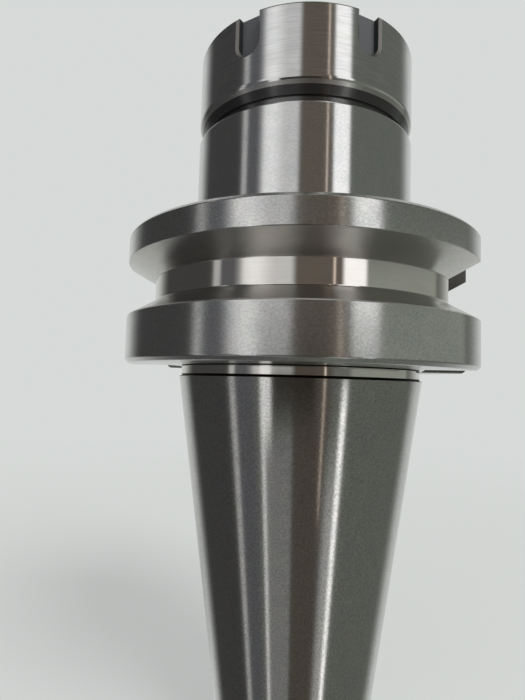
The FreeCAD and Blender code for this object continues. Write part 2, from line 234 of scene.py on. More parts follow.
def turned_steel(name, colour, roughness, anisotropy, marks, contrast, relief, blotches=0.05):
    """Steel finished on a lathe or a cylindrical grinder. Its marks are (width, length round
    the part, radius there) in millimetres, and relief is their depth in micrometres."""
    material, tree, shader = new_material(name)
    spot = lathe_coordinates(tree, *marks)
    grain = add(tree, "ShaderNodeTexNoise", {"Vector": spot, "Scale": 1, "Detail": 2})
    place = add(tree, "ShaderNodeTexCoord").outputs["Object"]
    cloud = add(tree, "ShaderNodeTexNoise",
                {"Vector": place, "Scale": 1 / (BLOTCH_SIZE * MM), "Detail": 3})
    tone = add(tree, "ShaderNodeMapRange", {
        "Value": grain.outputs["Fac"], "From Min": GRAIN_RANGE[0], "From Max": GRAIN_RANGE[1],
        "To Min": 1 - contrast, "To Max": 1,
    })
    smudge = add(tree, "ShaderNodeMapRange", {
        "Value": cloud.outputs["Fac"], "From Min": CLOUD_RANGE[0], "From Max": CLOUD_RANGE[1],
        "To Min": 1 - blotches, "To Max": 1,
    })
    both = add(tree, "ShaderNodeMath", {0: tone.outputs[0], 1: smudge.outputs[0]},
               operation="MULTIPLY")
    hue = add(tree, "ShaderNodeMix", {
        0: TEMPER_TINT, 6: (*linear(colour), 1), 7: cloud.outputs["Color"],
    }, data_type="RGBA", blend_type="OVERLAY")
    shade = add(tree, "ShaderNodeVectorMath", {0: hue.outputs[2], "Scale": both.outputs[0]},
                operation="SCALE")
    polish = add(tree, "ShaderNodeMapRange", {
        "Value": cloud.outputs["Fac"], "From Min": CLOUD_RANGE[0], "From Max": CLOUD_RANGE[1],
        "To Min": roughness * (1 + 2 * blotches), "To Max": roughness * (1 - 2 * blotches),
    })
    tangent = add(tree, "ShaderNodeTangent", direction_type="RADIAL", axis="Z")
    ridges = add(tree, "ShaderNodeBump", {
        "Height": grain.outputs["Fac"], "Strength": 1, "Distance": relief / 1000 * MM,
    })
    tree.links.new(shade.outputs[0], shader.inputs["Base Color"])
    tree.links.new(polish.outputs[0], shader.inputs["Roughness"])
    tree.links.new(tangent.outputs[0], shader.inputs["Tangent"])
    tree.links.new(ridges.outputs[0], shader.inputs["Normal"])
    shader.inputs["Metallic"].default_value = 1
    shader.inputs["Anisotropic"].default_value = anisotropy
    shader.inputs["Anisotropic Rotation"].default_value = 0.25
    return material


def plain_finish(name, colour, roughness, metallic, ior=None):
    """A finish with no direction of its own, a little uneven in its gloss."""
    material, tree, shader = new_material(name)
    place = add(tree, "ShaderNodeTexCoord").outputs["Object"]
    grain = add(tree, "ShaderNodeTexNoise",
                {"Vector": place, "Scale": 1 / (GLOSS_PATCH * MM), "Detail": 4})
    gloss = add(tree, "ShaderNodeMapRange", {
        "Value": grain.outputs["Fac"], "To Min": roughness - GLOSS_SPREAD,
        "To Max": roughness + GLOSS_SPREAD,
    })
    tree.links.new(gloss.outputs[0], shader.inputs["Roughness"])
    shader.inputs["Base Color"].default_value = (*linear(colour), 1)
    shader.inputs["Metallic"].default_value = metallic
    if ior:
        shader.inputs["IOR"].default_value = ior
    return material


# The real marks of grinding and turning are a few hundredths of a millimetre wide, too fine
# to show, so all marks below are drawn several times coarser.

# Hardened steel, ground on its diameter and left satin: soft zones of light, stretched up
# and down because the wheel's marks run round it, under a fine stipple.
GROUND_FLANGE = turned_steel(
    "ground_flange_steel", "#C6C6C4", roughness=0.2, anisotropy=0.75, marks=(0.4, 0.6, 50),
    contrast=0.22, relief=2, blotches=0.04)
# The shank is ground finer, so it mirrors the room in sharp bands broken by a stipple.
GROUND_TAPER = turned_steel(
    "ground_taper_steel", "#C6C5C2", roughness=0.12, anisotropy=0.3, marks=(0.5, 0.5, 30),
    contrast=0.3, relief=2)
# Nose and nut are polished after grinding, which leaves faint lines round the nut.
POLISHED_NOSE = turned_steel(
    "polished_nose_steel", "#CDCDCC", roughness=0.13, anisotropy=0.85, marks=(0.4, 0.6, 31),
    contrast=0.14, relief=2)
POLISHED_NUT = turned_steel(
    "polished_nut_steel", "#CDCDCC", roughness=0.13, anisotropy=0.85, marks=(0.4, 6, 31),
    contrast=0.16, relief=2)
# Turned groove flanks are duller, with faint rings from the tool.
TURNED_FLANK = turned_steel(
    "turned_flank_steel", "#C2C0BC", roughness=0.25, anisotropy=0.6, marks=(0.5, 3, 46),
    contrast=0.1, relief=3, blotches=0.03)
# The root of the groove is burnished like a mirror.
BURNISHED_ROOT = turned_steel(
    "burnished_root_steel", "#D0CDC8", roughness=0.07, anisotropy=0.3, marks=(0.8, 20, 42),
    contrast=0.04, relief=1, blotches=0.03)
# Bored and drilled walls keep the tool's marks.
BORED = turned_steel(
    "bored_steel", "#A9A7A2", roughness=0.35, anisotropy=0.6, marks=(0.3, 20, 15),
    contrast=0.15, relief=6)
# The step and the relief under the flange are painted dark: painted shade for the shadow in their
# narrow gaps.
SHADED_RELIEF = turned_steel(
    "oiled_relief_steel", "#4A4641", roughness=0.4, anisotropy=0.4, marks=(0.4, 5, 34),
    contrast=0.2, relief=4)
# Spring steel, ground after its slits are cut.
COLLET_STEEL = turned_steel(
    "ground_spring_steel", "#CFCECB", roughness=0.22, anisotropy=0.7, marks=(0.3, 10, 19),
    contrast=0.08, relief=3)
# Black oxide is a thin glossy film of magnetite.
BLACK_OXIDE = plain_finish("black_oxide", "#121111", roughness=0.2, metallic=0, ior=1.9)
# The black wears thin and grey towards the nut's outside.
WORN_OXIDE = plain_finish("worn_black_oxide", "#B4B2AE", roughness=0.25, metallic=1)
# The rear rim's edge at the groove is broken with a stone, and painted bright: a painted highlight
# along it.
HIGHLIGHT_EDGE = plain_finish("broken_edge_steel", "#DAD9D6", roughness=0.4, metallic=1)
# Wrench slots are blackened and matt from the mill, with darker walls.
MILLED_FLOOR = plain_finish("blackened_milled_steel", "#626366", roughness=0.6, metallic=0.3)
MILLED_WALL = plain_finish("dark_milled_steel", "#3A3B3B", roughness=0.5, metallic=0.6)
# The drive slots are milled and left bare.
DRIVE_MILLED = plain_finish("milled_drive_steel", "#7A7874", roughness=0.4, metallic=1)
# The wrench slots' broken edges are ground through the black, and stay dull.
SLOT_EDGE = plain_finish("dull_slot_edge_steel", "#8E8D8A", roughness=0.45, metallic=1)


def softened(corners):
    """Round the corners of a closed outline. Each corner is (radius, height, rounding,
    finish), and its finish covers the metal up to the next corner."""
    points = []
    for index, (radius, height, rounding, finish) in enumerate(corners):
        here = Vector((radius, height))
        if not rounding:
            points.append((here, finish))
            continue
        before = Vector(corners[index - 1][:2])
        after = Vector(corners[(index + 1) % len(corners)][:2])
        start = here + (before - here).normalized() * rounding
        end = here + (after - here).normalized() * rounding
        for step in range(CORNER_STEPS + 1):
            t = step / CORNER_STEPS
            points.append((start * (1 - t) ** 2 + here * 2 * t * (1 - t) + end * t ** 2, finish))
    return points


def new_piece(name, mesh, finishes):
    """An object in the scene with its finishes."""
    piece = bpy.data.objects.new(name, mesh)
    bpy.context.collection.objects.link(piece)
    for finish in finishes:
        mesh.materials.append(finish)
    return piece


def turned(name, corners):
    """A closed ring of metal, its outline turned round the Z axis."""
    outline = softened(corners)
    finishes = list(dict.fromkeys(finish for _, finish in outline))
    shell = bmesh.new()
    rings = []
    for point, _ in outline:
        ring = []
        for step in range(SEGMENTS):
            angle = step * math.tau / SEGMENTS
            spot = Vector((point.x * math.cos(angle), point.x * math.sin(angle), point.y))
            ring.append(shell.verts.new(spot * MM))
        rings.append(ring)
    for index, (_, finish) in enumerate(outline):
        near = rings[index]
        far = rings[(index + 1) % len(rings)]
        for step in range(SEGMENTS):
            beside = (step + 1) % SEGMENTS
            face = shell.faces.new((near[step], near[beside], far[beside], far[step]))
            face.material_index = finishes.index(finish)
    bmesh.ops.recalc_face_normals(shell, faces=shell.faces)
    mesh = bpy.data.meshes.new(name)
    shell.to_mesh(mesh)
    shell.free()
    return new_piece(name, mesh, finishes)


def cutter(name, layers, finishes, flared):
    """A closed tool made of layers of equal loops. Each side band and both ends have a
    finish, and the bands named in flared leave a broken edge."""
    used = list(dict.fromkeys(finishes))
    shell = bmesh.new()
    edge_face = shell.faces.layers.bool.new("edge_face")
    loops = [[shell.verts.new(spot * MM) for spot in layer] for layer in layers]
    count = len(loops[0])
    for band, (near, far) in enumerate(zip(loops, loops[1:])):
        for step in range(count):
            beside = (step + 1) % count
            face = shell.faces.new((near[step], near[beside], far[beside], far[step]))
            face.material_index = used.index(finishes[band + 1])
            face[edge_face] = band in flared
    for loop, finish in ((loops[0], finishes[0]), (loops[-1], finishes[-1])):
        shell.faces.new(loop).material_index = used.index(finish)
    bmesh.ops.recalc_face_normals(shell, faces=shell.faces)
    mesh = bpy.data.meshes.new(name)
    shell.to_mesh(mesh)
    shell.free()
    return new_piece(name, mesh, used)


def new_geometry_tree(name, inputs):
    """An empty node tree with named inputs, each a (name, socket type)."""
    tree = bpy.data.node_groups.new(name, "GeometryNodeTree")
    for label, kind in inputs:
        tree.interface.new_socket(label, in_out="INPUT", socket_type=kind)
    tree.interface.new_socket("Geometry", in_out="OUTPUT", socket_type="NodeSocketGeometry")
    given = tree.nodes.new("NodeGroupInput").outputs
    return tree, given


def finish_tree(tree, shape, finish, selection=None):
    """End a tree in real geometry with a finish on it."""
    real = add(tree, "GeometryNodeRealizeInstances", {"Geometry": shape})
    inputs = {"Geometry": real.outputs[0], "Material": finish}
    if selection:
        inputs["Selection"] = selection
    painted = add(tree, "GeometryNodeSetMaterial", inputs)
    add(tree, "NodeGroupOutput", {"Geometry": painted.outputs[0]})
    return tree


def cut_round_tree():
    """Cuts copies of a tool, spread evenly round the Z axis, out of the piece."""
    tree, given = new_geometry_tree("cut_round", (
        ("Geometry", "NodeSocketGeometry"),
        ("Tool", "NodeSocketObject"),
        ("Count", "NodeSocketInt"),
        ("First Angle", "NodeSocketFloat"),
        ("Edge Finish", "NodeSocketMaterial"),
    ))
    tool = add(tree, "GeometryNodeObjectInfo", {"Object": given["Tool"]})
    places = add(tree, "GeometryNodeMeshLine", {"Count": given["Count"], "Offset": (0, 0, 0)})
    index = add(tree, "GeometryNodeInputIndex").outputs[0]
    step = add(tree, "ShaderNodeMath", {0: math.tau, 1: given["Count"]}, operation="DIVIDE")
    angle = add(tree, "ShaderNodeMath",
                {0: index, 1: step.outputs[0], 2: given["First Angle"]}, operation="MULTIPLY_ADD")
    turn = add(tree, "ShaderNodeCombineXYZ", {"Z": angle.outputs[0]})
    tools = add(tree, "GeometryNodeInstanceOnPoints", {
        "Points": places.outputs[0], "Instance": tool.outputs["Geometry"],
        "Rotation": turn.outputs[0],
    })
    solid_tools = add(tree, "GeometryNodeRealizeInstances", {"Geometry": tools.outputs[0]})
    cut = add(tree, "GeometryNodeMeshBoolean", {
        "Mesh 1": given["Geometry"], "Mesh 2": solid_tools.outputs[0],
    }, operation="DIFFERENCE", solver="EXACT")
    edge = add(tree, "GeometryNodeInputNamedAttribute", {"Name": "edge_face"}, data_type="BOOLEAN")
    return finish_tree(tree, cut.outputs[0], given["Edge Finish"], edge.outputs[0])


def thread_tree():
    """A right-handed thread ridge wound round the Z axis, run out at both ends."""
    tree, given = new_geometry_tree("thread_ridge", (
        ("Geometry", "NodeSocketGeometry"),
        ("Radius", "NodeSocketFloat"),
        ("Start", "NodeSocketFloat"),
        ("Length", "NodeSocketFloat"),
        ("Pitch", "NodeSocketFloat"),
        ("Depth", "NodeSocketFloat"),
        ("Inward", "NodeSocketBool"),
        ("Finish", "NodeSocketMaterial"),
    ))
    turns = add(tree, "ShaderNodeMath", {0: given["Length"], 1: given["Pitch"]},
                operation="DIVIDE")
    spiral = add(tree, "GeometryNodeCurveSpiral", {
        "Resolution": THREAD_STEPS, "Rotations": turns.outputs[0], "Start Radius": given["Radius"],
        "End Radius": given["Radius"], "Height": given["Length"], "Reverse": True,
    })
    lift = add(tree, "ShaderNodeCombineXYZ", {"Z": given["Start"]})
    line = add(tree, "GeometryNodeSetPosition",
               {"Geometry": spiral.outputs[0], "Offset": lift.outputs[0]})
    upright = add(tree, "GeometryNodeSetCurveNormal", {"Curve": line.outputs[0]}, mode="Z_UP")
    share = add(tree, "GeometryNodeSplineParameter").outputs["Factor"]
    from_end = add(tree, "ShaderNodeMath", {0: share, 1: 0.5}, operation="SUBTRACT")
    distance = add(tree, "ShaderNodeMath", {0: from_end.outputs[0]}, operation="ABSOLUTE")
    height = add(tree, "ShaderNodeMapRange", {
        "Value": distance.outputs[0], "From Min": 0.5, "From Max": FULL_HEIGHT_TO,
        "To Min": TIP_SHARE, "To Max": 1,
    })
    tapered = add(tree, "GeometryNodeSetCurveRadius",
                  {"Curve": upright.outputs[0], "Radius": height.outputs[0]})
    crest = add(tree, "ShaderNodeMath", {0: given["Pitch"], 1: CREST_SHARE},
                operation="MULTIPLY")
    root = add(tree, "ShaderNodeMath",
               {0: given["Depth"], 1: 2 * FLANK_SLOPE, 2: crest.outputs[0]},
               operation="MULTIPLY_ADD")
    ridge = add(tree, "GeometryNodeCurvePrimitiveQuadrilateral", {
        "Height": given["Depth"], "Bottom Width": root.outputs[0], "Top Width": crest.outputs[0],
        "Offset": 0,
    }, mode="TRAPEZOID")
    half = add(tree, "ShaderNodeMath", {0: given["Depth"], 1: 0.5}, operation="MULTIPLY")
    seat = add(tree, "ShaderNodeCombineXYZ", {"Y": half.outputs[0]})
    seated = add(tree, "GeometryNodeSetPosition",
                 {"Geometry": ridge.outputs[0], "Offset": seat.outputs[0]})
    side = add(tree, "GeometryNodeSwitch", {
        "Switch": given["Inward"], "False": -math.pi / 2, "True": math.pi / 2,
    }, input_type="FLOAT")
    facing = add(tree, "ShaderNodeCombineXYZ", {"Z": side.outputs[0]})
    turned_ridge = add(tree, "GeometryNodeTransform",
                       {"Geometry": seated.outputs[0], "Rotation": facing.outputs[0]})
    wound = add(tree, "GeometryNodeCurveToMesh", {
        "Curve": tapered.outputs[0], "Profile Curve": turned_ridge.outputs[0], "Fill Caps": True,
    })
    return finish_tree(tree, wound.outputs[0], given["Finish"])


def grow(piece, tree, values):
    """Run a tree on a piece and keep the result as its plain mesh."""
    modifier = piece.modifiers.new(tree.name, "NODES")
    modifier.node_group = tree
    names = {item.name: item.identifier for item in tree.interface.items_tree
             if item.in_out == "INPUT"}
    for label, value in values.items():
        modifier[names[label]] = value
    evaluated = piece.evaluated_get(bpy.context.evaluated_depsgraph_get())
    mesh = bpy.data.meshes.new_from_object(evaluated, preserve_all_data_layers=True,
                                           depsgraph=bpy.context.evaluated_depsgraph_get())
    piece.modifiers.remove(modifier)
    piece.data = mesh
    return piece


CUT_ROUND = cut_round_tree()
THREAD_RIDGE = thread_tree()


def cut_round(piece, tool, count, first_angle, edge_finish):
    """Cut copies of a tool out of a piece, then take the tool away."""
    grow(piece, CUT_ROUND, {
        "Tool": tool, "Count": count, "First Angle": first_angle, "Edge Finish": edge_finish,
    })
    bpy.data.objects.remove(tool)


def thread(name, radius, start, length, pitch, depth, inward, finish):
    """A ridge on a wall of this radius, standing outwards, or inwards in a hole."""
    piece = new_piece(name, bpy.data.meshes.new(name), ())
    grow(piece, THREAD_RIDGE, {
        "Radius": (radius + THREAD_SINK * (1 if inward else -1)) * MM,
        "Start": start * MM, "Length": length * MM, "Pitch": pitch * MM,
        "Depth": (depth + THREAD_SINK) * MM, "Inward": inward, "Finish": finish,
    })
    return piece


def set_edges(piece):
    """Outward faces, with smooth shading between sharp edges."""
    shell = bmesh.new()
    shell.from_mesh(piece.data)
    bmesh.ops.remove_doubles(shell, verts=shell.verts, dist=WELD_DISTANCE * MM)
    bmesh.ops.recalc_face_normals(shell, faces=shell.faces)
    shell.to_mesh(piece.data)
    shell.free()
    piece.data.name = piece.name
    piece.data.shade_smooth()
    piece.data.set_sharp_from_angle(angle=SHARP_ANGLE)


def finish_piece(piece, body, slot, *nodes):
    """Shade a piece and hand it to its body, in place of its CAD nodes if it has any."""
    set_edges(piece)
    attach(piece, body)
    if nodes:
        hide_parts(*nodes)


def drive_slot_tool():
    """The slot's U outline, in layers along Z, flared where it leaves the flange's faces."""
    edge = DRIVE_SLOT_EDGE
    mouth = math.sqrt(FLANGE_RADIUS ** 2 - DRIVE_SLOT_HALF_WIDTH ** 2) - edge
    overshoot = 3
    far = FLANGE_RADIUS + overshoot

    def loop(height, spread):
        """The outline at a height, wider by a spread on every side."""
        half = DRIVE_SLOT_HALF_WIDTH + spread
        centre = Vector((DRIVE_SLOT_FLOOR + DRIVE_SLOT_CORNER,
                         DRIVE_SLOT_HALF_WIDTH - DRIVE_SLOT_CORNER))
        radius = DRIVE_SLOT_CORNER + spread
        upper = [Vector((far, half + far - mouth)), Vector((mouth, half))]
        for step in range(DRIVE_SLOT_CORNER_STEPS + 1):
            angle = math.radians(90 + 90 * step / DRIVE_SLOT_CORNER_STEPS)
            upper.append(centre + Vector((math.cos(angle), math.sin(angle))) * radius)
        spots = upper + [Vector((spot.x, -spot.y)) for spot in reversed(upper)]
        return [Vector((spot.x, spot.y, height)) for spot in spots]

    reach = 0.3
    layers = (
        loop(FLANGE_REAR - reach, edge + reach),
        loop(FLANGE_REAR + edge, 0),
        loop(FLANGE_FRONT - edge, 0),
        loop(FLANGE_FRONT + reach, edge + reach),
    )
    return cutter("drive_slot_tool", layers, (DRIVE_MILLED,) * 5, (0, 2))


def wrench_slot_tool():
    """The slot's outline with its round end, in layers outwards, flared at the diameter."""
    overshoot = 4
    mouth = NUT_FRONT + overshoot

    def loop(radius, spread):
        """The outline at a radius, wider by a spread on every side."""
        half = WRENCH_SLOT_HALF_WIDTH + spread
        spots = [Vector((radius, half, mouth)), Vector((radius, -half, mouth))]
        for step in range(WRENCH_SLOT_STEPS + 1):
            angle = math.pi + math.pi * step / WRENCH_SLOT_STEPS
            spots.append(Vector((radius, half * math.cos(angle),
                                 WRENCH_SLOT_CENTRE + half * math.sin(angle))))
        return spots

    rise = 2
    layers = (
        loop(WRENCH_SLOT_FLOOR, 0),
        loop(NUT_RADIUS - WRENCH_SLOT_EDGE, 0),
        loop(NUT_RADIUS - WRENCH_SLOT_EDGE + rise, rise),
    )
    finishes = (MILLED_FLOOR, MILLED_WALL, SLOT_EDGE, SLOT_EDGE)
    return cutter("wrench_slot_tool", layers, finishes, (1,))


def lip_tool():
    """The eccentric circle that opens the nut's lip."""
    middle = Vector((math.cos(NUT_TURNED), math.sin(NUT_TURNED), 0)) * LIP_OFFSET
    count = SEGMENTS // 2
    overshoot = 0.3

    def loop(height):
        """The circle at a height, with its points between the nut's own."""
        spots = []
        for step in range(count):
            angle = (step + 0.5) * math.tau / count
            spots.append(middle + Vector((LIP_RADIUS * math.cos(angle),
                                          LIP_RADIUS * math.sin(angle), height)))
        return spots

    layers = (loop(LIP_REAR - overshoot), loop(LIP_FRONT + overshoot))
    return cutter("lip_tool", layers, (BORED,) * 3, ())


def slit_tool(low, high):
    """A thin blade that cuts one slit through the collet's wall."""
    near = SLIT_OVERSHOOT
    far = COLLET_RADIUS + SLIT_OVERSHOOT

    def loop(height):
        """The blade's section at a height."""
        return [Vector((x, y, height)) for x, y in (
            (near, -SLIT_HALF_WIDTH), (far, -SLIT_HALF_WIDTH),
            (far, SLIT_HALF_WIDTH), (near, SLIT_HALF_WIDTH))]

    return cutter("slit_tool", (loop(low), loop(high)), (BORED,) * 3, ())


def make_holder():
    """The holder: shank, flange and nose, bored through, with its two drive slots."""
    small_radius = GAUGE_RADIUS + SMALL_END * TAPER_SLOPE
    chamfer_top = SMALL_END + SMALL_END_CHAMFER
    root_half = GROOVE_HALF_WIDTH - (FLANGE_RADIUS - GROOVE_ROOT_RADIUS) * math.tan(
        GROOVE_HALF_ANGLE)
    undercut_top = NOSE_SHOULDER + UNDERCUT_WIDTH
    seat_end = BODY_FACE - (SEAT_RADIUS - SHANK_BORE_RADIUS) / SEAT_SLOPE
    core_end = SMALL_END + STUD_CORE_DEPTH
    pilot_end = SMALL_END + PILOT_DEPTH
    thread_end = pilot_end + STUD_THREAD_LENGTH
    bore_point = SHANK_BORE_FLOOR - (SHANK_BORE_RADIUS - COOLANT_RADIUS) / DRILL_SLOPE
    core_point = core_end + (STUD_CORE_RADIUS - COOLANT_RADIUS) / DRILL_SLOPE
    step = STUD_THREAD_RADIUS - STUD_CORE_RADIUS
    piece = turned("ground_holder", (
        (PILOT_RADIUS + PILOT_CHAMFER, SMALL_END, SHARP, GROUND_TAPER),
        (small_radius - SMALL_END_CHAMFER, SMALL_END, BROKEN, GROUND_TAPER),
        (GAUGE_RADIUS + chamfer_top * TAPER_SLOPE, chamfer_top, BROKEN, GROUND_TAPER),
        # Painted shade: the gauge step and the relief's grooves take the dark finish.
        (GAUGE_RADIUS, 0, CRISP, SHADED_RELIEF),
        (RELIEF_RADIUS - OIL_GROOVE, OIL_GROOVE, SHARP, SHADED_RELIEF),
        (RELIEF_RADIUS, 2 * OIL_GROOVE, SHARP, BURNISHED_ROOT),
        (RELIEF_RADIUS, FLANGE_REAR - OIL_GROOVE, SHARP, SHADED_RELIEF),
        (RELIEF_RADIUS - OIL_GROOVE, FLANGE_REAR, SHARP, GROUND_FLANGE),
        (FLANGE_RADIUS - RIM_CHAMFER, FLANGE_REAR, BROKEN, GROUND_FLANGE),
        (FLANGE_RADIUS, FLANGE_REAR + RIM_CHAMFER, BROKEN, GROUND_FLANGE),
        # Painted highlight: the rear rim's broken edge at the groove takes the bright finish.
        (FLANGE_RADIUS, GROOVE_MIDDLE - GROOVE_HALF_WIDTH - RIM_EDGE, SHARP, HIGHLIGHT_EDGE),
        (FLANGE_RADIUS - RIM_EDGE, GROOVE_MIDDLE - GROOVE_HALF_WIDTH + RIM_EDGE_RISE, SHARP,
         TURNED_FLANK),
        (GROOVE_ROOT_RADIUS, GROOVE_MIDDLE - root_half, BROKEN, BURNISHED_ROOT),
        (GROOVE_ROOT_RADIUS, GROOVE_MIDDLE + root_half, BROKEN, TURNED_FLANK),
        (FLANGE_RADIUS, GROOVE_MIDDLE + GROOVE_HALF_WIDTH, FINE, GROUND_FLANGE),
        (FLANGE_RADIUS, FLANGE_FRONT - RIM_CHAMFER, BROKEN, GROUND_FLANGE),
        (FLANGE_RADIUS - RIM_CHAMFER, FLANGE_FRONT, BROKEN, GROUND_FLANGE),
        (NOSE_RADIUS, FLANGE_FRONT, NOSE_FILLET, POLISHED_NOSE),
        (NOSE_RADIUS, NOSE_SHOULDER, NOSE_SHOULDER_ROUND, GROUND_FLANGE),
        (UNDERCUT_RADIUS, NOSE_SHOULDER, BROKEN, BORED),
        (UNDERCUT_RADIUS, undercut_top, SHARP, BORED),
        (NOSE_ROOT_RADIUS, undercut_top, SHARP, BORED),
        (NOSE_ROOT_RADIUS, BODY_FACE - FACE_CHAMFER, SHARP, BORED),
        (NOSE_ROOT_RADIUS - FACE_CHAMFER, BODY_FACE, FINE, GROUND_FLANGE),
        (SEAT_RADIUS, BODY_FACE, FINE, POLISHED_NOSE),
        (SHANK_BORE_RADIUS, seat_end, SHARP, BORED),
        (SHANK_BORE_RADIUS, SHANK_BORE_FLOOR, SHARP, BORED),
        (COOLANT_RADIUS, bore_point, BROKEN, BORED),
        (COOLANT_RADIUS, core_point, SHARP, BORED),
        (STUD_CORE_RADIUS, core_end, SHARP, BORED),
        (STUD_CORE_RADIUS, thread_end + step, SHARP, BORED),
        (STUD_THREAD_RADIUS, thread_end, SHARP, BORED),
        (STUD_THREAD_RADIUS, pilot_end, SHARP, BORED),
        (PILOT_RADIUS, pilot_end, SHARP, BORED),
        (PILOT_RADIUS, SMALL_END + PILOT_CHAMFER, SHARP, BORED),
    ))
    cut_round(piece, drive_slot_tool(), DRIVE_SLOTS, 0, GROUND_FLANGE)
    finish_piece(piece, "holder", "ground_steel", "holder_body")


def make_nut():
    """The clamping nut, with its eccentric lip and its wrench slots."""
    cone_start = NUT_REAR + COLLAR_LENGTH
    cone_end = cone_start + CONE_LENGTH
    press_end = LIP_FRONT + (PRESS_RADIUS - NUT_HOLE_RADIUS) / PRESS_SLOPE
    piece = turned("slotted_nut", (
        (NUT_BORE_RADIUS + FACE_CHAMFER, NUT_REAR, CRISP, BLACK_OXIDE),
        (COLLAR_RADIUS, NUT_REAR, BROKEN, BLACK_OXIDE),
        (COLLAR_RADIUS, cone_start, CRISP, BLACK_OXIDE),
        (CONE_SMALL_RADIUS, cone_start, CRISP, BLACK_OXIDE),
        (NUT_RADIUS - (1 - BLACKENED_SHARE) * (NUT_RADIUS - CONE_SMALL_RADIUS),
         cone_start + BLACKENED_SHARE * CONE_LENGTH, SHARP, WORN_OXIDE),
        (NUT_RADIUS, cone_end, CONE_ROUND, POLISHED_NUT),
        (NUT_RADIUS, NUT_FRONT - NUT_FRONT_CHAMFER, FINE, BLACK_OXIDE),
        (NUT_RADIUS - NUT_FRONT_CHAMFER, NUT_FRONT, FINE, POLISHED_NUT),
        (NUT_HOLE_RADIUS, NUT_FRONT, FINE, BORED),
        (NUT_HOLE_RADIUS, press_end, SHARP, POLISHED_NOSE),
        (PRESS_RADIUS, LIP_FRONT, SHARP, BORED),
        (NUT_HOLE_RADIUS, LIP_FRONT, SHARP, BORED),
        (NUT_HOLE_RADIUS, LIP_REAR, SHARP, BORED),
        (CAVITY_RADIUS, LIP_REAR, SHARP, BORED),
        (CAVITY_RADIUS, NUT_BORE_END, SHARP, BORED),
        (NUT_BORE_RADIUS, NUT_BORE_END, SHARP, BORED),
        (NUT_BORE_RADIUS, NUT_REAR + FACE_CHAMFER, SHARP, BORED),
    ))
    cut_round(piece, lip_tool(), 1, 0, BORED)
    cut_round(piece, wrench_slot_tool(), WRENCH_SLOTS, NUT_TURNED, SLOT_EDGE)
    finish_piece(piece, "nut", "nut_steel", "clamping_nut")


def make_collet():
    """The spring collet, slit from both ends by turns."""
    head_face_radius = HEAD_RADIUS - GROOVE_FRONT * PRESS_SLOPE
    tail_radius = COLLET_RADIUS - (COLLET_FACE - COLLET_TAIL - COLLET_WIDEST) * SEAT_SLOPE
    piece = turned("spring_collet", (
        (COLLET_BORE_RADIUS, COLLET_FACE, BROKEN, COLLET_STEEL),
        (head_face_radius, COLLET_FACE, BROKEN, COLLET_STEEL),
        (HEAD_RADIUS, COLLET_FACE - GROOVE_FRONT, FINE, COLLET_STEEL),
        (COLLET_GROOVE_RADIUS, COLLET_FACE - GROOVE_FRONT, SHARP, BORED),
        (COLLET_GROOVE_RADIUS, COLLET_FACE - GROOVE_REAR, SHARP, COLLET_STEEL),
        (COLLET_RADIUS, COLLET_FACE - GROOVE_REAR, FINE, COLLET_STEEL),
        (COLLET_RADIUS, COLLET_FACE - COLLET_WIDEST, SHARP, COLLET_STEEL),
        (tail_radius + COLLET_CHAMFER * SEAT_SLOPE, COLLET_TAIL + COLLET_CHAMFER, CRISP,
         COLLET_STEEL),
        (tail_radius - COLLET_CHAMFER, COLLET_TAIL, CRISP, COLLET_STEEL),
        (COLLET_BORE_RADIUS, COLLET_TAIL, BROKEN, COLLET_STEEL),
    ))
    front = slit_tool(COLLET_FACE - FRONT_SLIT_LENGTH, COLLET_FACE + SLIT_OVERSHOOT)
    cut_round(piece, front, SLITS, 0, BORED)
    rear = slit_tool(COLLET_TAIL - SLIT_OVERSHOOT, COLLET_TAIL + REAR_SLIT_LENGTH)
    cut_round(piece, rear, SLITS, math.pi / SLITS, BORED)
    finish_piece(piece, "collet", "collet_steel", "collet")


def make_threads():
    """The ridges on the nose, in the nut and in the stud hole.

    The nut's crests stand half a pitch from the nose's, so the two mesh.
    """
    start = NOSE_SHOULDER + UNDERCUT_WIDTH + NOSE_THREAD_START_GAP
    length = BODY_FACE - FACE_CHAMFER - NOSE_THREAD_END_GAP - start
    nose = thread("nose_thread", NOSE_ROOT_RADIUS, start, length, NOSE_PITCH, NOSE_RIDGE,
                  False, BORED)
    finish_piece(nose, "holder", "ground_steel")
    room = start - NUT_REAR - FACE_CHAMFER - NOSE_THREAD_START_GAP
    turns = math.floor(room / NOSE_PITCH + 0.5)
    nut_start = start - (turns - 0.5) * NOSE_PITCH
    nut_length = NUT_BORE_END - NUT_THREAD_END_GAP - nut_start
    nut = thread("nut_thread", NUT_BORE_RADIUS, nut_start, nut_length, NOSE_PITCH, NUT_RIDGE,
                 True, BORED)
    finish_piece(nut, "nut", "nut_steel")
    stud_start = SMALL_END + PILOT_DEPTH + STUD_THREAD_START_GAP
    stud_length = STUD_THREAD_LENGTH - STUD_THREAD_GAPS
    stud = thread("stud_thread", STUD_THREAD_RADIUS, stud_start, stud_length, STUD_PITCH,
                  STUD_THREAD_RADIUS - STUD_CORE_RADIUS, True, BORED)
    finish_piece(stud, "holder", "ground_steel")


make_holder()
make_nut()
make_collet()
make_threads()

# Background and floor: their colour, the floor's reach in metres, where it fades into the
# background, and how much of the background's even light it has near the object
PALE = "#D7DAD8"
FLOOR_HALF_WIDTH = 1.5
FLOOR_FADE_FROM = 0.25
FLOOR_FADE_TO = 0.8
FLOOR_GLOW = 0.62

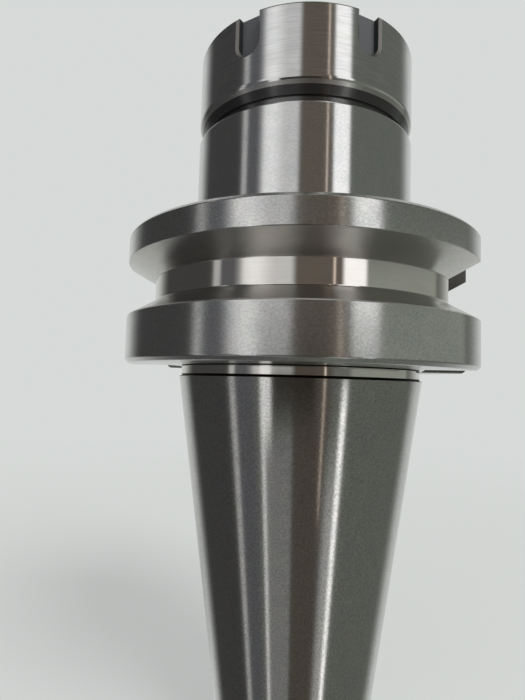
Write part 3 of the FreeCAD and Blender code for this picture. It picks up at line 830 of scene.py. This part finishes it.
# The studio round the object, in degrees: azimuths run to the right of the camera's side, and
# heights run up from the horizon. A later patch covers what lies behind it. Beyond the
# background's azimuth on either side, metal shows the same pale background as the camera.
WHITE, WARM, COOL, GREEN = "#FFFFFF", "#FFEEDD", "#F5F6FF", "#F3FAEE"
CAMERA_AZIMUTH = math.radians(10)
ROOM_BRIGHTNESS = 0.2
EVERY_HEIGHT = (-120, 120)
BACKGROUND_FROM = 130
BACKGROUND_HEIGHTS = (-60, 60)
BACKGROUND_EDGE = 14
NO_END = 360
STUDIO = (
    # azimuths, heights, soft edge, brightness, tint
    ((-135, -65), EVERY_HEIGHT, 8, 0.07, WHITE),
    ((-65, -40), EVERY_HEIGHT, 6, 0.15, COOL),
    ((47, 115), (-5, 14), 3, 0.4, GREEN),
    ((-5, 30), EVERY_HEIGHT, 4, 0.11, WARM),
    ((-5, 30), (5, 120), 4, 0.16, WARM),
    ((-25, 15), (-20, 0), 3, 0.04, WARM),
    ((-66, -60), EVERY_HEIGHT, 2, 0.6, WHITE),
    ((-33, -5), (-70, -22), 1, 0.28, WHITE),
    ((30, 40), (-70, -25), 6, 0.55, WHITE),
    ((-35, -31), (-55, -20), 1, 1, WHITE),
    ((-35, -25), (-22, 5), 2, 1.2, WHITE),
    ((-42, -5), (2, 120), 3, 0.8, WHITE),
    ((-42, -25), (2, 120), 8, 1.2, WHITE),
    ((23, 24), (-30, 120), 1, 1.5, WARM),
    ((30, 47), (5, 120), 2, 1.5, WHITE),
    ((40, 45), (-70, -15), 2, 2, WHITE),
)


def between(tree, value, limits, soft):
    """1 where a value lies between two limits in degrees, with soft ends."""
    ends = []
    for limit in limits:
        end = math.radians(limit)
        ends.append(add(tree, "ShaderNodeMapRange", {
            "Value": value, "From Min": end - math.radians(soft),
            "From Max": end + math.radians(soft),
        }, interpolation_type="SMOOTHSTEP").outputs[0])
    return add(tree, "ShaderNodeMath", {0: ends[0], 1: ends[1]}, operation="SUBTRACT").outputs[0]


def azimuth_and_height(tree, vector):
    """Where a direction or a place lies round the object, with 0 on the camera's side."""
    turned = add(tree, "ShaderNodeVectorRotate",
                 {"Vector": vector, "Angle": -CAMERA_AZIMUTH}, rotation_type="Z_AXIS")
    parts = add(tree, "ShaderNodeSeparateXYZ", {0: turned.outputs[0]}).outputs
    front = add(tree, "ShaderNodeMath", {0: parts["Y"], 1: -1}, operation="MULTIPLY")
    azimuth = add(tree, "ShaderNodeMath", {0: parts["X"], 1: front.outputs[0]},
                  operation="ARCTAN2")
    height = add(tree, "ShaderNodeMath", {0: parts["Z"]}, operation="ARCSINE")
    return azimuth.outputs[0], height.outputs[0]


def behind(tree, azimuth):
    """1 where metal and glass show the background, which stands behind the object."""
    aside = add(tree, "ShaderNodeMath", {0: azimuth}, operation="ABSOLUTE").outputs[0]
    return between(tree, aside, (BACKGROUND_FROM, NO_END), BACKGROUND_EDGE)


def mirrored(tree):
    """1 for a ray that metal or glass sends on."""
    ray = add(tree, "ShaderNodeLightPath").outputs
    return add(tree, "ShaderNodeMath", {
        0: ray["Is Glossy Ray"], 1: ray["Is Transmission Ray"]}, operation="MAXIMUM").outputs[0]


def make_floor():
    """A plain pale floor that turns into the background's colour a little way off.

    Metal and glass show it where it lies behind the object, as they show the world.
    """
    material, tree, shader = new_material("pale_floor")
    shader.inputs["Base Color"].default_value = (*linear(PALE), 1)
    shader.inputs["Roughness"].default_value = 1
    shader.inputs["Specular IOR Level"].default_value = 0
    place = add(tree, "ShaderNodeTexCoord").outputs["Object"]
    distance = add(tree, "ShaderNodeVectorMath", {0: place}, operation="LENGTH")
    far = add(tree, "ShaderNodeMapRange", {
        "Value": distance.outputs["Value"], "From Min": FLOOR_FADE_FROM,
        "From Max": FLOOR_FADE_TO, "To Min": FLOOR_GLOW, "To Max": 1,
    }, interpolation_type="SMOOTHSTEP")
    even = add(tree, "ShaderNodeEmission", {"Color": (*linear(PALE), 1)})
    pale = add(tree, "ShaderNodeMixShader",
               {0: far.outputs[0], 1: shader.outputs[0], 2: even.outputs[0]})
    clear = add(tree, "ShaderNodeBsdfTransparent")
    before = add(tree, "ShaderNodeMath", {
        0: mirrored(tree), 1: behind(tree, azimuth_and_height(tree, place)[0])},
        operation="SUBTRACT", use_clamp=True)
    mixed = add(tree, "ShaderNodeMixShader",
                {0: before.outputs[0], 1: pale.outputs[0], 2: clear.outputs[0]})
    tree.links.new(mixed.outputs[0], tree.nodes["Material Output"].inputs["Surface"])
    shell = bmesh.new()
    bmesh.ops.create_grid(shell, x_segments=1, y_segments=1, size=FLOOR_HALF_WIDTH)
    bmesh.ops.translate(shell, verts=shell.verts, vec=(0, 0, SMALL_END * MM))
    mesh = bpy.data.meshes.new("floor")
    shell.to_mesh(mesh)
    shell.free()
    floor = new_piece("floor", mesh, (material,))


def make_world():
    """The pale background for the camera, and the studio for light and reflections."""
    world = bpy.data.worlds.new("studio")
    bpy.context.scene.world = world
    world.use_nodes = True
    tree = world.node_tree
    tree.nodes.clear()
    direction = add(tree, "ShaderNodeTexCoord").outputs["Generated"]
    azimuth, height = azimuth_and_height(tree, direction)
    around = add(tree, "ShaderNodeVectorMath", {
        0: linear(GREEN), "Scale": ROOM_BRIGHTNESS}, operation="SCALE").outputs[0]
    for azimuths, heights, soft, brightness, tint in STUDIO:
        inside = add(tree, "ShaderNodeMath", {
            0: between(tree, azimuth, azimuths, soft), 1: between(tree, height, heights, soft),
        }, operation="MULTIPLY")
        around = add(tree, "ShaderNodeMix", {
            0: inside.outputs[0], 6: around,
            7: (*(channel * brightness for channel in linear(tint)), 1),
        }, data_type="RGBA").outputs[2]
    lit = add(tree, "ShaderNodeBackground", {"Color": around})
    pale = add(tree, "ShaderNodeBackground", {"Color": (*linear(PALE), 1)})
    backdrop = add(tree, "ShaderNodeMath", {
        0: behind(tree, azimuth), 1: between(tree, height, BACKGROUND_HEIGHTS, BACKGROUND_EDGE),
    }, operation="MULTIPLY")
    shown = add(tree, "ShaderNodeMath", {0: mirrored(tree), 1: backdrop.outputs[0]},
                operation="MULTIPLY")
    camera = add(tree, "ShaderNodeLightPath").outputs["Is Camera Ray"]
    seen = add(tree, "ShaderNodeMath", {0: camera, 1: shown.outputs[0]},
               operation="MAXIMUM").outputs[0]
    mixed = add(tree, "ShaderNodeMixShader", {0: seen, 1: lit.outputs[0], 2: pale.outputs[0]})
    add(tree, "ShaderNodeOutputWorld", {"Surface": mixed.outputs[0]})


# A soft sun from the front right
SUN_STRENGTH = 2.6
SUN_SPREAD = math.radians(30)
SUN_SIDE = Vector((0.62, -0.45, 0.75))


def make_key_light():
    """The sun lights the floor and lays the shadow to the left."""
    lamp = bpy.data.lights.new("key_light", "SUN")
    lamp.energy = SUN_STRENGTH
    lamp.angle = SUN_SPREAD
    key = bpy.data.objects.new("key_light", lamp)
    bpy.context.collection.objects.link(key)
    key.rotation_mode = "QUATERNION"
    key.rotation_quaternion = SUN_SIDE.to_track_quat("Z", "Y")
    key.visible_glossy = False


# Camera as fitted to the edges seen in the photograph
CAMERA_PLACE = Vector((26.23, -148.76, -1.57)) * MM
CAMERA_YAW = math.radians(14.15)
CAMERA_PITCH = math.radians(3.77)
CAMERA_ROLL = math.radians(-1.59)
CAMERA_LENS = 26.08
SENSOR_WIDTH = 36
NEAREST_VIEW = 10 * MM


def make_camera():
    """The camera, aimed by its yaw, pitch and roll from a level view along Y."""
    data = bpy.data.cameras.new("camera")
    data.lens = CAMERA_LENS
    data.sensor_width = SENSOR_WIDTH
    data.clip_start = NEAREST_VIEW
    camera = bpy.data.objects.new("camera", data)
    bpy.context.collection.objects.link(camera)
    camera.matrix_world = (
        Matrix.Translation(CAMERA_PLACE)
        @ Matrix.Rotation(CAMERA_YAW, 4, "Z")
        @ Matrix.Rotation(CAMERA_PITCH, 4, "X")
        @ Matrix.Rotation(CAMERA_ROLL, 4, "Y")
        @ Matrix.Rotation(math.pi / 2, 4, "X")
    )
    bpy.context.scene.camera = camera


make_floor()
make_world()
make_key_light()
make_camera()
bpy.context.scene.view_settings.view_transform = "Standard"
